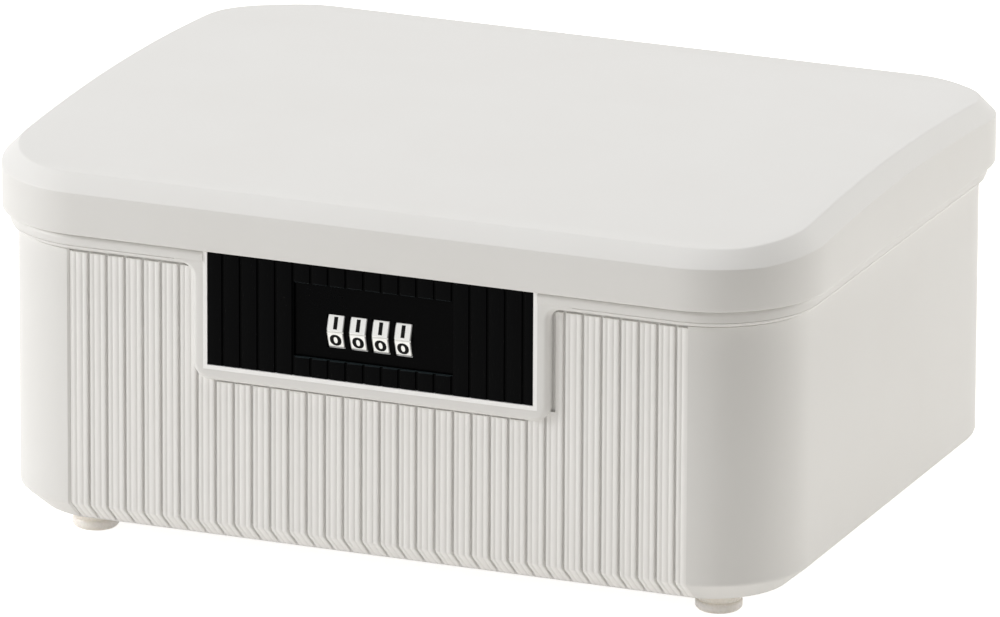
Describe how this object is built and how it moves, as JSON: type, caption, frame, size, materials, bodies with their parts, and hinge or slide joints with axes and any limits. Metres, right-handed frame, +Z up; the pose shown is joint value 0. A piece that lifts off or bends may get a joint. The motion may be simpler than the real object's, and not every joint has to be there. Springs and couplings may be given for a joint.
{
  "type": "lockable storage box",
  "caption": "Flat-topped plastic storage box with a rear-hinged overlapping lid, a ribbed front, and a front number lock whose sliding plate latches the lid.",
  "frame": {"origin": "on the ground under the middle of the whole outline, hinge knuckles included", "axes": "+X to the right seen from the front, +Y to the back where the hinges are, +Z up; the lock faces -Y"},
  "size_m": [0.2964, 0.2408, 0.1381],
  "materials": {
    "case_plastic": "fine satin",
    "foot_rubber": "translucent",
    "fascia_black": "satin",
    "lock_plastic": "satin",
    "wheel_silver": "silver paint with black digits",
    "sleeve_brass": "turned",
    "steel": "zinc plated"
  },
  "bodies": {
    "body": {"body_shell": "case_plastic", "foot_front_left": "foot_rubber", "foot_front_right": "foot_rubber", "foot_back_left": "foot_rubber", "foot_back_right": "foot_rubber", "hinge_pin_left": "steel", "hinge_pin_right": "steel", "lock_housing": "case_plastic", "ribbed_fascia": "fascia_black", "lock_back_cover": "lock_plastic", "cover_screws": "steel", "housing_screws": "steel", "spindle": "steel"},
    "lid": {"lid_shell": "case_plastic", "lid_striker": "lock_plastic", "striker_screws": "steel"},
    "carriage": {"number_plate": "fascia_black", "wheel_carriage": "lock_plastic", "latch_bar": "steel", "latch_bar_screws": "steel", "wheel_spring": "steel"},
    "wheel_1": {"number_wheel_1": "wheel_silver", "gate_sleeve_1": "sleeve_brass"},
    "wheel_2": {"number_wheel_2": "wheel_silver", "gate_sleeve_2": "sleeve_brass"},
    "wheel_3": {"number_wheel_3": "wheel_silver", "gate_sleeve_3": "sleeve_brass"},
    "wheel_4": {"number_wheel_4": "wheel_silver", "gate_sleeve_4": "sleeve_brass"},
    "code_slider": {"code_set_slider": "fascia_black"}
  },
  "joints": [
    {"name": "lid_hinge", "type": "hinge", "parent": "body", "child": "lid", "pos_m": [0, 0.11705, 0.1123], "axis": [-1, 0, 0], "range_deg": [0, 100]},
    {"name": "lock_slide", "type": "slide", "parent": "body", "child": "carriage", "axis": [1, 0, 0], "range_m": [0, 0.004]},
    {"name": "wheel_1_turn", "type": "hinge", "parent": "carriage", "child": "wheel_1", "pos_m": [-0.01383, -0.10655, 0.0887], "axis": [1, 0, 0], "continuous": true},
    {"name": "wheel_2_turn", "type": "hinge", "parent": "carriage", "child": "wheel_2", "pos_m": [-0.00568, -0.10655, 0.0887], "axis": [1, 0, 0], "continuous": true},
    {"name": "wheel_3_turn", "type": "hinge", "parent": "carriage", "child": "wheel_3", "pos_m": [0.00248, -0.10655, 0.0887], "axis": [1, 0, 0], "continuous": true},
    {"name": "wheel_4_turn", "type": "hinge", "parent": "carriage", "child": "wheel_4", "pos_m": [0.01063, -0.10655, 0.0887], "axis": [1, 0, 0], "continuous": true},
    {"name": "code_set_slide", "type": "slide", "parent": "body", "child": "code_slider", "axis": [1, 0, 0], "range_m": [0, 0.003]}
  ]
}
